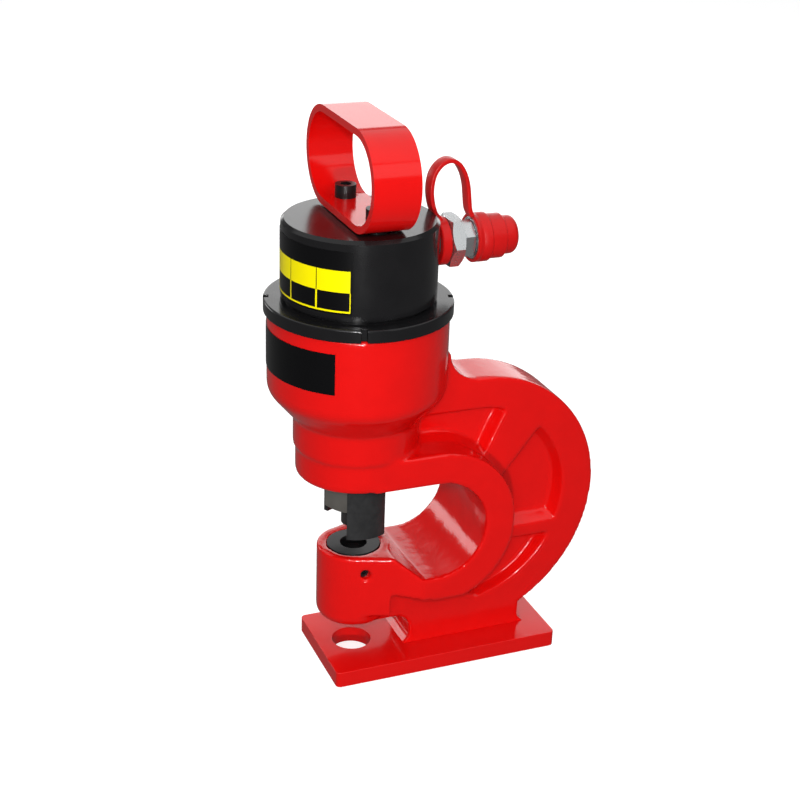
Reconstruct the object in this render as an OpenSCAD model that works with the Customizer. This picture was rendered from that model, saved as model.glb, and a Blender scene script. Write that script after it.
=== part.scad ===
// Hydraulic hole punch: a C-frame casting with a single-acting cylinder over a punch and die.
// The origin is on the punch axis at the underside of the base plate. +X runs to the spine, +Z up.

/* [Base plate] */
// Plate ahead of the punch axis
plate_front = 28.7; // [24:0.1:40]
// Plate behind the punch axis
plate_rear = 164.6; // [150:0.1:200]
// Width of the plate
plate_w = 92.6; // [70:0.1:120]
// Thickness of the plate
plate_t = 13.3; // [12.5:0.1:20]
// Corner radius of the plate
plate_corner = 4; // [2:0.5:10]
// Diameter of the slug outlet
outlet_d = 31.7; // [26:0.1:40]
// Shank diameter of the base screws
base_screw_d = 10; // [8:1:10]
// Length of a base screw's shank above the plate
base_screw_grip = 20; // [14:1:24]

/* [C-frame] */
// Punch axis to the back of the throat
throat_depth = 95; // [90:0.5:110]
// Radius of the throat's round back
throat_r = 42; // [38:0.5:46]
// Height of the throat's centre
throat_z = 127.5; // [125:0.5:132]
// Thickness of the band round the throat
band_t = 25; // [20:0.5:28]
// Thickness of the lower jaw under the throat
jaw_t = 20; // [16:0.5:24]
// Width of the band
band_w = 94; // [88:1:97]
// Width of the web behind the band
web_w = 43; // [36:1:56]
// Punch axis to the back of the spine
spine_x = 201.5; // [192:0.5:215]
// Height where the spine reaches furthest back
spine_z = 137; // [130:0.5:142]
// Radius of the spine above that height
spine_upper_r = 105.9; // [98:0.1:110]
// Radius of the spine below that height
spine_lower_r = 120.7; // [116:0.1:123]
// Outer flange of the web round its pockets
flange_t = 26; // [20:0.5:30]
// Depth of the web's pockets
pocket_depth = 10.5; // [6:0.5:14]
// Punch axis to the front of the foot
foot_front = 43; // [38:0.5:50]
// Punch axis to the rear of the foot
foot_rear = 141.5; // [130:0.5:150]
// Diameter of the die boss
boss_d = 58.8; // [54:0.2:66]
// Height of the boss's underside
boss_z = 40; // [36:0.5:46]
// Length of the neck above the jaw
neck_h = 23.5; // [18:0.5:30]
// Diameter of the neck
neck_d = 97.8; // [95:0.2:104]
// Height of the cone under the barrel
cone_h = 23.5; // [18:0.5:30]
// Height of the barrel
barrel_h = 62.1; // [56:0.5:70]
// Diameter of the barrel
barrel_d = 138; // [134:0.5:142]

/* [Punch and die] */
// Height of the die's face
die_z = 104; // [100:0.5:108]
// Height of the die
die_h = 26; // [22:0.5:30]
// Outer diameter of the die
die_d = 42.7; // [38:0.1:46]
// Diameter of the punch
punch_d = 20.5; // [12:0.1:21.5]
// Clearance of the die round the punch
die_clearance = 0.4; // [0.2:0.05:0.6]
// Gap between the punch and the die at rest
punch_gap = 19; // [16:0.5:22]
// Width across the flats of the punch nut
punch_nut_af = 45; // [42:0.5:45]
// Wall of the stripper's legs
stripper_wall = 4; // [3:0.1:5]
// Gap between the stripper's legs and the die
stripper_gap = 18.2; // [15:0.1:20]
// Half of the arc that a stripper leg covers, in degrees
stripper_half_arc = 31; // [20:1:40]
// Diameter of the die's locking screw
die_screw_d = 8; // [5:0.5:9]

/* [Cylinder] */
// Diameter of the cylinder above the lock ring
cylinder_d = 117.3; // [115:0.1:124]
// Height of the cylinder above its threaded part
cylinder_h = 58.9; // [54:0.1:66]
// Diameter of the threaded part as a share of the lock ring's
thread_share = 0.7821; // [0.75:0.0001:0.785]
// Thread left bare above the lock ring
thread_bare = 2.5; // [1.5:0.1:4]
// Thickness of the lock ring
ring_t = 9.9; // [8:0.1:14]
// Diameter of the lock ring
ring_d = 143.2; // [140:0.1:150]
// Bore of the cylinder
bore_d = 76; // [72:0.5:78]
// Thickness of the cylinder's closed end
end_t = 30; // [29:0.5:34]
// Diameter of the piston rod
rod_d = 45; // [42:0.5:46]
// Height of the piston
piston_h = 26; // [24:0.5:30]
// Wire of the return spring
spring_wire = 7; // [5:0.5:8]
// Turns of the return spring
spring_turns = 7; // [5:1:8]

/* [Handle] */
// Width of the handle's strap
handle_w = 35.5; // [30:0.5:42]
// Thickness of the strap
handle_t = 5.5; // [4:0.5:8]
// Overall length of the handle's loop
handle_l = 144; // [130:1:160]
// Overall height of the loop
handle_h = 75; // [64:0.5:80]
// Distance between the handle screws
handle_pitch = 65; // [60:0.5:72]
// Diameter of the handle screws
handle_screw_d = 10; // [8:1:10]
// Height of the spacers under the handle
spacer_h = 0.8; // [0.5:0.1:4]

/* [Coupler] */
// Cylinder top to the coupler's axis
coupler_drop = 23.9; // [22:0.1:24.5]
// Width across the flats of the adaptor
adaptor_af = 36; // [32:0.5:38]
// Length of the adaptor's hexagon
adaptor_hex_l = 11; // [8:0.5:14]
// Width across the flats of the coupler
coupler_af = 27.5; // [24:0.5:32]
// Length of the coupler's hexagon
coupler_hex_l = 9.8; // [8:0.2:12]
// Radius of the coupler's threaded collar
collar_r = 16; // [14:0.1:16.5]
// Length of the threaded collar
collar_l = 12; // [10:0.5:14]
// Radius of the coupler's nose
nose_r = 11; // [10:0.1:11.5]
// Length of the nose
nose_l = 15; // [13:0.5:16]
// Largest radius of the dust cap
cap_r = 18.8; // [18:0.1:20]
// Length of the dust cap
cap_l = 36.2; // [35:0.2:46]
// Width of the cap's strap
strap_w = 12; // [8:0.5:14]
// Thickness of the strap
strap_t = 3.6; // [2:0.1:4]
// Height of the strap's loop above the coupler's axis
strap_rise = 64.5; // [58:0.5:70]

/* [Labels] */
// Height of the rating label
rating_h = 47; // [40:0.5:50]
// Half of the arc that the rating label covers, in degrees
rating_half_arc = 65; // [40:1:75]
// Height of the barrel label
barrel_label_h = 31.7; // [24:0.1:40]
// Half of the arc that the barrel label covers, in degrees
barrel_label_half_arc = 56; // [40:1:70]
// Thickness of a label
label_t = 0.4; // [0.3:0.1:0.8]

/* [Hidden] */
$fn = 72;

// Clearance of a running or threaded fit, on the radius
fit = 0.05;
// Clearance between pieces that must not touch
clear = 0.3;
// Length by which a cut runs past the face it opens
overrun = 1;
// Side of a square that covers half of the whole part
reach = 2 * (spine_x + plate_front);

// Heights up the punch axis
throat_x = throat_depth - throat_r;
throat_floor = throat_z - throat_r;
jaw_z = throat_z + throat_r;
jaw_top = jaw_z + band_t;
neck_top = jaw_top + neck_h;
barrel_z = neck_top + cone_h;
barrel_top = barrel_z + barrel_h;
ring_top = barrel_top + ring_t;
collar_z = ring_top + thread_bare;
cylinder_top = collar_z + cylinder_h;
band_r = throat_r + band_t;
spine_top = spine_z + spine_upper_r;
boss_r = boss_d / 2;

// Fillet where the spine's top runs up to the barrel, and over the slug gap
spine_fillet = 24;
gap_fillet = foot_front - boss_r;
// Rounding of the boss's lower edge and of the jaw's nose
boss_round_r = 9;
barrel_round_r = 15;
jaw_round_r = 4;
// Planes where the casting's nodes meet: behind the throat, and under the boss where the slug gap's fillet ends
parting_share = 0.88;
parting_x = throat_x + throat_r * parting_share;
foot_share = 0.05;
foot_top = boss_z - gap_fillet * foot_share;
// Where the ramp from the boss to the throat's floor starts and ends
ramp_start_x = 21;
ramp_end_x = 43;
// Where the boss's flanks end, how far they stop above its underside, and how far the jaw rises to meet them
flank_x = 19;
flank_drop = 12;
flank_rise = 6;
// How far out the flanks' lines start on the boss's radius, so that they leave its round face at a small angle
flank_share = 0.985;

// Directions of the edges of the web's two ribs, from the throat's centre and along the edge
rib_upper_turns = [44, 65];
rib_lower_turns = [21, 52];
tie_upper_turns = [-19, 0];
tie_lower_turns = [-28, 0];
pocket_end_turns = [-73, -36];
// Middles of the three pockets, as turns about the throat's centre
pocket_turns = [66, 10, -38];
// Size of a pocket's floor as a share of its mouth
pocket_floor_share = 0.8;

// Thread of the cylinder, which the barrel and the lock ring share
thread_d = ring_d * thread_share;

// Rod guide, stacked on a ledge above the stripper
stripper_t = 8;
stripper_r = 42;
ledge_t = 2.5;
ledge_z = jaw_z + stripper_t + ledge_t;
guide_wall = 5.5;
wiper_h = 6;
bush_z = ledge_z + wiper_h;
seat_z = neck_top + ledge_t;
seat_t = 3;
chamber_gap = 6;
chamber_r = bore_d / 2 + chamber_gap;
cylinder_z = barrel_z + ledge_t;
stripper_pcd = 69;
stripper_screw_d = 6;
stripper_screw_count = 4;
stripper_screw_grip = 10;

// Pieces on the rod
bore_end_z = cylinder_top - end_t;
piston_top = bore_end_z - clear;
piston_z = piston_top - piston_h;
seal_h = 8;
seal_depth = 5;
wear_h = 5;
wear_depth = 2;
groove_land = 4;
punch_tip_z = die_z + punch_gap;
punch_nut_floor = 6;
punch_reach = 18;
punch_nut_z = punch_tip_z + punch_reach;
punch_head_h = 8;
punch_lip = 4;
punch_head_r = punch_d / 2 + punch_lip;
stub_r = 17;
stub_z = punch_nut_z + punch_nut_floor + punch_head_h;
shoulder_drop = 4;
shoulder_z = jaw_z - shoulder_drop;
spring_gap = 2;
spring_r = bore_d / 2 - spring_gap - spring_wire / 2;
spring_z = seat_z + seat_t;
nut_corner_r = punch_nut_af / 2 / cos(30);
leg_gap = 0.9;
leg_in_r = nut_corner_r + leg_gap;
// Gap of the stripper's hole round the nut as a share of the legs' gap
hole_gap_share = 0.5;
hole_r = nut_corner_r + leg_gap * hole_gap_share;
die_bore_r = punch_d / 2 + die_clearance;
die_land = 8;
die_seat_z = die_z - die_h;
slug_r = outlet_d / 2;
die_groove = 1.5;
die_screw_drop = 14.5;
die_screw_z = die_z - die_screw_drop;
die_screw_l = 5.5;

// Screw heads follow the shank, as on a socket head cap screw
head_d_share = 1.6;
socket_af_share = 0.8;
socket_depth_share = 0.5;
head_recess = 1;
base_screw_x = [foot_front + 2 * base_screw_d, foot_rear - 2 * base_screw_d];

// Coupler, measured from the punch axis
coupler_z = cylinder_top - coupler_drop;
port_depth = 18;
port_r = 8.6;
duct_r = 3.5;
spot_r = 14;
spot_depth = 1;
spot_x = cylinder_d / 2 - spot_depth;
seal_t = 1.6;
neck_x = spot_x + seal_t;
strap_ring_l = 7.7;
hex_x = neck_x + strap_ring_l + 2 * clear;
coupler_x = hex_x + adaptor_hex_l;
collar_x = coupler_x + coupler_hex_l;
nose_x = collar_x + collar_l;
nose_end = nose_x + nose_l;
adaptor_neck_r = 12;
// Turn of the coupler's hexagon that brings a flat up, in degrees
coupler_turn = 30;
valve_chamber_r = 6;
valve_wall = 4;
valve_head_l = 4.5;
valve_stem_r = 3;
valve_tip = 1;
stop_t = 4;
stop_x = collar_x + fit;
valve_head_x = nose_end - valve_wall - valve_head_l;
valve_wire = 1;
valve_turns = 5;
cap_x = collar_x + clear;
cap_step = 1.6;
cap_tip_step = 4;
cap_mid_r = cap_r - cap_step;
cap_tip_r = cap_r - cap_tip_step;
cap_step_l = 12.3;
cap_end_r = 5;
cap_cavity_end = nose_end + valve_tip + 2 * clear;
strap_ring_r = cap_r - clear;
strap_left_x = neck_x + strap_ring_l / 2;
strap_right_x = cap_x + strap_t / 2;
strap_span = strap_right_x - strap_left_x;
strap_bow = 5;
strap_lean = 7.5;
strap_loop_r = strap_span / 2 + strap_bow;

// Handle
handle_z = cylinder_top + spacer_h;
handle_r = handle_h / 2;
handle_mid = handle_l / 2 - handle_r;
handle_screw_grip = 16;
cylinder_chamfer = 2.5;

// Lock ring's spanner slots
slot_count = 4;
slot_w = 4.4;
slot_depth = 4.2;
slot_turn = -17;
ring_bevel = 1;

// Labels
rating_rise = 4;
rating_z = collar_z + rating_rise;
barrel_label_drop = 10.5;
barrel_label_z = barrel_top - barrel_label_h - barrel_label_drop;

red = "firebrick";
black = "dimgray";
steel = "silver";

function on_circle(r, a) = [throat_x + r * cos(a), throat_z + r * sin(a)];
function hex_r(af) = af / 2 / cos(30);

// Points of a ring of n about p, in the plane of the axis and the radial direction at turn a
function wire_ring(centre, a, r, n) =
    [for (i = [0:n - 1]) let (t = 360 * i / n)
        [(centre[0] + r * cos(t)) * cos(a), (centre[0] + r * cos(t)) * sin(a), centre[1] + r * sin(t)]];

// A round bar of any length along +X from x
module bar_x(x, l, r) {
    translate([x, 0, coupler_z]) rotate([0, 90, 0]) cylinder(h = l, r = r);
}

// A hexagon bar along +X from x, turned about its axis from where a corner is up
module hex_x_bar(x, l, af, turn) {
    translate([x, 0, coupler_z]) rotate([0, 90, 0]) rotate([0, 0, turn]) cylinder(h = l, r = hex_r(af), $fn = 6);
}

// A 2D outline in X and Z, drawn out to both sides of the middle plane
module across(w) {
    rotate([90, 0, 0]) linear_extrude(height = w, center = true) children();
}

module half_plane(a, turn, left) {
    translate(on_circle(band_r, a)) rotate(turn)
        translate([-reach / 2, left ? 0 : -reach]) square(reach);
}

module above(z) {
    translate([-reach / 2, z]) square(reach);
}

module below(z) {
    translate([-reach / 2, z - reach]) square(reach);
}

// A coil of round wire between two heights
module coil(r, wire, z0, z1, turns, steps, sides) {
    n = turns * steps;
    rise = z1 - z0 - wire;
    points = [for (k = [0:n])
        each wire_ring([r, z0 + wire / 2 + rise * k / n], 360 * k / steps, wire / 2, sides)];
    walls = [for (k = [0:n - 1], i = [0:sides - 1]) let (j = (i + 1) % sides)
        [k * sides + i, k * sides + j, (k + 1) * sides + j, (k + 1) * sides + i]];
    foot = [for (i = [0:sides - 1]) sides - 1 - i];
    head = [for (i = [0:sides - 1]) n * sides + i];
    polyhedron(points, concat([foot, head], walls), convexity = turns);
}

// A socket head cap screw, head up, with its seat at zero
module cap_screw(d, grip) {
    difference() {
        union() {
            translate([0, 0, -grip]) cylinder(h = grip, r = d / 2);
            cylinder(h = d, r = d * head_d_share / 2);
        }
        translate([0, 0, d - d * socket_depth_share])
            cylinder(h = d * socket_depth_share + overrun, r = hex_r(d * socket_af_share), $fn = 6);
    }
}

module rounded_plate(l, w, r) {
    translate([r, -w / 2]) square([l - 2 * r, w]);
    translate([0, r - w / 2]) square([l, w - 2 * r]);
    for (x = [r, l - r], y = [r - w / 2, w / 2 - r]) translate([x, y]) circle(r);
}

module base_plate() {
    color(red) difference() {
        translate([-plate_front, 0, 0]) linear_extrude(height = plate_t)
            rounded_plate(plate_front + plate_rear, plate_w, plate_corner);
        translate([0, 0, -overrun]) cylinder(h = plate_t + 2 * overrun, r = slug_r);
        for (x = base_screw_x) translate([x, 0, -overrun]) {
            cylinder(h = plate_t + 2 * overrun, r = base_screw_d / 2 + fit);
            cylinder(h = base_screw_d + head_recess + overrun, r = base_screw_d * head_d_share / 2 + clear);
        }
    }
}

module base_screws() {
    color(black) for (x = base_screw_x) translate([x, 0, base_screw_d + head_recess]) mirror([0, 0, 1])
        cap_screw(base_screw_d, plate_t - base_screw_d - head_recess + base_screw_grip);
}

// The web's side view before its pockets are cut
module web_outline() {
    spine_mid_x = spine_x - spine_upper_r;
    lower_mid_x = spine_x - spine_lower_r;
    difference() {
        union() {
            intersection() {
                translate([spine_mid_x, spine_z]) circle(spine_upper_r);
                above(spine_z);
                translate([spine_mid_x, 0]) square(reach);
            }
            intersection() {
                translate([lower_mid_x, spine_z]) circle(spine_lower_r);
                below(spine_z);
                translate([foot_front, plate_t]) square(reach);
            }
            translate([0, throat_z]) square([spine_mid_x, spine_top - throat_z]);
            translate([foot_front, plate_t]) square([foot_rear - foot_front, throat_floor - plate_t]);
            translate([0, boss_z]) square([foot_front, throat_floor - boss_z]);
            translate([foot_front - gap_fillet, boss_z - gap_fillet]) square(gap_fillet);
            translate([0, spine_top]) square([barrel_d / 2 + spine_fillet, spine_fillet]);
        }
        translate([foot_front - gap_fillet, boss_z - gap_fillet]) circle(gap_fillet);
        translate([barrel_d / 2 + spine_fillet, spine_top + spine_fillet]) circle(spine_fillet);
        translate([throat_x, throat_z]) circle(throat_r);
        translate([throat_x - reach, throat_floor]) square([reach, 2 * throat_r]);
    }
}

// Mouths of the three pockets: over the jaw, behind the throat and above the foot
module pocket_outline(i) {
    inner_upper = spine_upper_r - flange_t;
    inner_lower = spine_lower_r - flange_t;
    difference() {
        intersection() {
            union() {
                intersection() {
                    translate([spine_x - spine_upper_r, spine_z]) circle(inner_upper);
                    above(spine_z);
                }
                intersection() {
                    translate([spine_x - spine_lower_r, spine_z]) circle(inner_lower);
                    below(spine_z);
                }
                translate([0, spine_z]) square([spine_x - spine_upper_r, inner_upper]);
            }
            if (i == 0) half_plane(rib_upper_turns[0], rib_upper_turns[1], true);
            else if (i == 1) intersection() {
                half_plane(rib_lower_turns[0], rib_lower_turns[1], false);
                half_plane(tie_upper_turns[0], tie_upper_turns[1], true);
            }
            else intersection() {
                half_plane(tie_lower_turns[0], tie_lower_turns[1], false);
                half_plane(pocket_end_turns[0], pocket_end_turns[1], true);
            }
        }
        translate([throat_x, throat_z]) circle(band_r);
        translate([0, throat_z]) square([throat_x, jaw_top - throat_z]);
    }
}

module pocket(i) {
    mid = on_circle(band_r + band_t, pocket_turns[i]);
    rotate([90, 0, 0]) translate([mid[0], mid[1], web_w / 2 + overrun]) mirror([0, 0, 1])
        linear_extrude(height = pocket_depth + overrun, scale = pocket_floor_share)
            translate(-mid) pocket_outline(i);
}

module web() {
    difference() {
        across(web_w) web_outline();
        for (i = [0:2], side = [0, 1]) mirror([0, side, 0]) pocket(i);
    }
}

// The wide band round the throat, with the upper jaw
module band() {
    across(band_w) {
        difference() {
            intersection() {
                translate([throat_x, throat_z]) circle(band_r);
                translate([throat_x, throat_floor - jaw_t]) square(2 * band_r);
            }
            translate([throat_x, throat_z]) circle(throat_r);
        }
        translate([0, jaw_z]) square([throat_x, band_t]);
    }
}

// The lower jaw narrows from the band to the boss along two flat flanks, which run on down the boss
module lower_jaw() {
    jaw_low = throat_floor - jaw_t;
    flank_z = boss_z + flank_drop;
    far = norm([ramp_end_x, band_w / 2]);
    turn = atan2(band_w / 2, ramp_end_x) + acos(boss_r / far);
    touch = boss_r * flank_share * [cos(turn), sin(turn)];
    intersection() {
        across(band_w) polygon([
            [-boss_r, die_z], [ramp_start_x, die_z], [ramp_end_x, throat_floor], [throat_x, throat_floor],
            [throat_x, jaw_low], [flank_x, jaw_low + flank_rise], [flank_x, flank_z], [-boss_r, flank_z],
        ]);
        linear_extrude(height = die_z) {
            circle(boss_r);
            polygon([
                [touch[0], -touch[1]], [ramp_end_x, -band_w / 2], [throat_x, -band_w / 2],
                [throat_x, band_w / 2], [ramp_end_x, band_w / 2], touch,
            ]);
        }
    }
}

// A quarter-round fillet taken off a profile's outer corner
module corner_round(r) {
    difference() {
        translate([-r, 0]) square(r);
        translate([-r, r]) circle(r);
    }
}

module boss() {
    rotate_extrude() difference() {
        translate([0, boss_z]) square([boss_r, die_z - boss_z]);
        translate([boss_r, boss_z]) corner_round(boss_round_r);
    }
}

// Jaw nose, neck, cone and barrel turned about the punch axis, with the barrel's lower edge rounded
module barrel() {
    slope = [barrel_d / 2 - neck_d / 2, cone_h];
    along = slope / norm(slope);
    mid_r = barrel_d / 2 - barrel_round_r;
    mid_z = neck_top + (barrel_round_r + (mid_r - neck_d / 2) * along[1]) / along[0];
    touch = [mid_r, mid_z] + barrel_round_r * [along[1], -along[0]];
    rotate_extrude() difference() {
        union() {
            polygon([
                [0, jaw_z], [band_w / 2, jaw_z], [band_w / 2, jaw_top], [neck_d / 2, jaw_top],
                [neck_d / 2, neck_top], touch, [barrel_d / 2, mid_z], [barrel_d / 2, barrel_top],
                [0, barrel_top],
            ]);
            translate([mid_r, mid_z]) circle(barrel_round_r);
        }
        translate([band_w / 2, jaw_z]) corner_round(jaw_round_r);
    }
}

module frame_bores() {
    translate([0, 0, cylinder_z]) cylinder(h = barrel_h, r = thread_d / 2 + fit);
    translate([0, 0, seat_z]) cylinder(h = barrel_h, r = chamber_r);
    translate([0, 0, ledge_z]) cylinder(h = barrel_h, r = rod_d / 2 + guide_wall + fit);
    translate([0, 0, throat_z]) cylinder(h = barrel_top - throat_z, r = rod_d / 2 + ledge_t);
    translate([0, 0, throat_z]) cylinder(h = jaw_z - throat_z + stripper_t, r = stripper_r + fit);
    stripper_places() cylinder(h = stripper_t + stripper_screw_grip, r = stripper_screw_d / 2 + fit);
    translate([0, 0, die_seat_z]) cylinder(h = die_h + overrun, r = die_d / 2 + fit);
    translate([0, 0, boss_z - overrun]) cylinder(h = die_h + boss_z, r = slug_r);
    translate([0, 0, die_screw_z]) rotate([90, 0, 0]) cylinder(h = band_w, r = die_screw_d / 2 + fit);
    for (x = base_screw_x) translate([x, 0, plate_t - overrun])
        cylinder(h = base_screw_grip + 2 * overrun, r = base_screw_d / 2 + fit);
}

module casting() {
    difference() {
        union() {
            web();
            band();
            lower_jaw();
            boss();
            barrel();
        }
        frame_bores();
    }
}

// The casting is one piece. Its nodes meet face to face, so that collision leaves its gaps open.
module cast_part(x0, x1, z0, z1) {
    color(red) intersection() {
        casting();
        translate([x0, -reach / 2, z0]) cube([x1 - x0, reach, z1 - z0]);
    }
}

module frame_foot() {
    cast_part(-reach, parting_x, 0, foot_top);
}

module frame_jaw() {
    cast_part(-reach, throat_x, foot_top, throat_z);
}

// The bend under the throat, between the lower jaw and the spine
module frame_bend() {
    cast_part(throat_x, parting_x, foot_top, throat_z);
}

module frame_spine() {
    cast_part(parting_x, reach, 0, reach);
}

module frame_head() {
    cast_part(-reach, parting_x, throat_z, reach);
}

module die() {
    color(black) rotate_extrude() difference() {
        translate([die_bore_r, die_seat_z]) square([die_d / 2 - die_bore_r, die_h]);
        translate([0, die_seat_z - overrun]) square([die_bore_r + die_groove, die_h - die_land + overrun]);
        translate([die_d / 2 - die_groove, die_screw_z - die_screw_d / 2 - clear])
            square([die_groove + overrun, die_screw_d + 2 * clear]);
    }
}

module die_screw() {
    color(steel) translate([0, -die_d / 2 + die_groove, die_screw_z]) rotate([90, 0, 0]) difference() {
        cylinder(h = die_screw_l, r = die_screw_d / 2);
        translate([0, 0, die_screw_l * socket_depth_share])
            cylinder(h = die_screw_l, r = hex_r(die_screw_d * socket_depth_share), $fn = 6);
    }
}

module stripper_places() {
    for (i = [0:stripper_screw_count - 1]) rotate([0, 0, 360 * (i + 1 / 2) / stripper_screw_count])
        translate([stripper_pcd / 2, 0, jaw_z]) children();
}

module stripper() {
    leg_z = die_z + stripper_gap;
    color(black) difference() {
        union() {
            translate([0, 0, jaw_z]) cylinder(h = stripper_t, r = stripper_r);
            for (turn = [90, 270]) rotate([0, 0, turn - stripper_half_arc])
                rotate_extrude(angle = 2 * stripper_half_arc)
                    translate([leg_in_r, leg_z]) square([stripper_wall, jaw_z - leg_z + overrun]);
        }
        translate([0, 0, jaw_z - overrun]) cylinder(h = stripper_t + 2 * overrun, r = hole_r);
        stripper_places() {
            translate([0, 0, -overrun])
                cylinder(h = stripper_screw_d + overrun, r = stripper_screw_d * head_d_share / 2 + clear);
            cylinder(h = stripper_t + overrun, r = stripper_screw_d / 2 + fit);
        }
    }
}

module stripper_screws() {
    color(black) stripper_places() translate([0, 0, stripper_screw_d]) mirror([0, 0, 1])
        cap_screw(stripper_screw_d, stripper_t - stripper_screw_d + stripper_screw_grip);
}

// A ring on the punch axis
module sleeve(z, h, r_in, r_out) {
    rotate_extrude() translate([r_in, z]) square([r_out - r_in, h]);
}

module guide_bush() {
    color("peru") sleeve(bush_z, seat_z - bush_z, rod_d / 2 + fit, rod_d / 2 + guide_wall);
}

module rod_wiper() {
    color("darkslategray") sleeve(ledge_z, wiper_h, rod_d / 2 + fit, rod_d / 2 + guide_wall);
}

module spring_seat() {
    color(steel) sleeve(seat_z, seat_t, rod_d / 2 + clear, chamber_r - clear);
}

module return_spring() {
    color(steel) coil(spring_r, spring_wire, spring_z, piston_z, spring_turns, 20, 8);
}

module ram() {
    color(steel) rotate_extrude() difference() {
        union() {
            translate([0, piston_z]) square([bore_d / 2 - fit, piston_h]);
            translate([0, shoulder_z]) square([rod_d / 2, piston_z - shoulder_z]);
            translate([0, stub_z]) square([stub_r - fit, shoulder_z - stub_z]);
        }
        translate([bore_d / 2 - wear_depth, piston_z + groove_land]) square([bore_d, wear_h]);
        translate([bore_d / 2 - seal_depth, piston_top - groove_land - seal_h]) square([bore_d, seal_h]);
    }
}

module wear_ring() {
    color("saddlebrown") sleeve(piston_z + groove_land, wear_h, bore_d / 2 - wear_depth, bore_d / 2 - fit);
}

module piston_seal() {
    color("darkslategray")
        sleeve(piston_top - groove_land - seal_h, seal_h, bore_d / 2 - seal_depth, bore_d / 2 - fit);
}

module punch() {
    head_z = punch_nut_z + punch_nut_floor;
    color(black) {
        translate([0, 0, punch_tip_z]) cylinder(h = head_z - punch_tip_z, r = punch_d / 2);
        translate([0, 0, head_z]) cylinder(h = punch_head_h, r = punch_head_r);
    }
}

module punch_nut() {
    color("darkgray") difference() {
        translate([0, 0, punch_nut_z]) rotate([0, 0, 8])
            cylinder(h = shoulder_z - punch_nut_z, r = nut_corner_r, $fn = 6);
        translate([0, 0, punch_nut_z - overrun]) cylinder(h = stub_z, r = punch_d / 2 + fit);
        translate([0, 0, punch_nut_z + punch_nut_floor]) cylinder(h = stub_z, r = stub_r);
    }
}

module cylinder_body() {
    color(black) difference() {
        rotate_extrude() polygon([
            [bore_d / 2, cylinder_z], [thread_d / 2, cylinder_z], [thread_d / 2, collar_z],
            [cylinder_d / 2, collar_z], [cylinder_d / 2, cylinder_top - cylinder_chamfer],
            [cylinder_d / 2 - cylinder_chamfer, cylinder_top], [0, cylinder_top],
            [0, bore_end_z], [bore_d / 2, bore_end_z],
        ]);
        handle_places() translate([0, 0, cylinder_top - handle_screw_grip - overrun])
            cylinder(h = handle_screw_grip + 2 * overrun, r = handle_screw_d / 2 + fit);
        bar_x(spot_x, spot_r, spot_r);
        bar_x(spot_x - port_depth, port_depth + overrun, port_r);
        bar_x(bore_d / 4, spot_x - bore_d / 4, duct_r);
        translate([bore_d / 4 + duct_r, 0, bore_end_z - overrun])
            cylinder(h = coupler_z - bore_end_z + overrun, r = duct_r);
    }
}

module lock_ring() {
    color(black) difference() {
        rotate_extrude() polygon([
            [thread_d / 2 + fit, barrel_top], [ring_d / 2, barrel_top],
            [ring_d / 2, ring_top - ring_bevel], [ring_d / 2 - ring_bevel, ring_top],
            [thread_d / 2 + fit, ring_top],
        ]);
        for (i = [0:slot_count - 1]) rotate([0, 0, slot_turn + 360 * i / slot_count])
            translate([ring_d / 2 - slot_depth, -slot_w / 2, barrel_top - overrun])
                cube([ring_d, slot_w, ring_t + 2 * overrun]);
    }
}

module handle_places() {
    for (side = [-1, 1]) translate([0, side * handle_pitch / 2, 0]) children();
}

module handle_spacers() {
    color(black) handle_places()
        sleeve(cylinder_top, spacer_h, handle_screw_d / 2 + fit, handle_screw_d);
}

// A loop with round ends, standing on its long side
module loop_outline(inset) {
    r = handle_r - inset;
    translate([-handle_mid, inset]) square([2 * handle_mid, 2 * r]);
    for (side = [-1, 1]) translate([side * handle_mid, handle_r]) circle(r);
}

module handle() {
    color(red) difference() {
        translate([0, 0, handle_z]) rotate([90, 0, 90]) linear_extrude(height = handle_w, center = true)
            difference() {
                loop_outline(0);
                loop_outline(handle_t);
            }
        handle_places() {
            translate([0, 0, handle_z - overrun])
                cylinder(h = handle_t + 2 * overrun, r = handle_screw_d / 2 + fit);
            // Spot face for the screw's head, where the loop's end begins to rise
            translate([0, 0, handle_z + handle_t])
                cylinder(h = handle_screw_d, r = handle_screw_d * head_d_share / 2 + clear);
        }
    }
}

module handle_screws() {
    color(black) handle_places() translate([0, 0, handle_z + handle_t])
        cap_screw(handle_screw_d, handle_t + spacer_h + handle_screw_grip);
}

module port_seal() {
    color("darkslategray") difference() {
        bar_x(spot_x, seal_t, spot_r - clear);
        bar_x(spot_x - overrun, seal_t + 2 * overrun, port_r);
    }
}

module adaptor() {
    color(steel) difference() {
        union() {
            bar_x(spot_x - port_depth + overrun, coupler_x - spot_x + port_depth - overrun, port_r - fit);
            bar_x(neck_x, hex_x - neck_x, adaptor_neck_r);
            hex_x_bar(hex_x, adaptor_hex_l, adaptor_af, 0);
            bar_x(coupler_x, coupler_hex_l - overrun, port_r - fit);
        }
        bar_x(spot_x - port_depth, coupler_x, duct_r);
    }
}

module coupler() {
    color(steel) difference() {
        union() {
            hex_x_bar(coupler_x, coupler_hex_l + fit, coupler_af, coupler_turn);
            bar_x(collar_x, collar_l, collar_r);
            bar_x(nose_x, nose_l, nose_r);
        }
        bar_x(coupler_x - overrun, coupler_hex_l + overrun, port_r);
        bar_x(coupler_x, nose_end - valve_wall - coupler_x, valve_chamber_r);
        bar_x(nose_x, nose_l + overrun, valve_stem_r + fit);
    }
}

module valve_stop() {
    color(steel) difference() {
        bar_x(stop_x, stop_t, valve_chamber_r - fit);
        bar_x(stop_x - overrun, stop_t + 2 * overrun, duct_r);
    }
}

module valve_spring() {
    color(steel) translate([0, 0, coupler_z]) rotate([0, 90, 0])
        coil(valve_chamber_r - 2 * clear - valve_wire / 2, valve_wire, stop_x + stop_t, valve_head_x,
            valve_turns, 16, 6);
}

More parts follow.
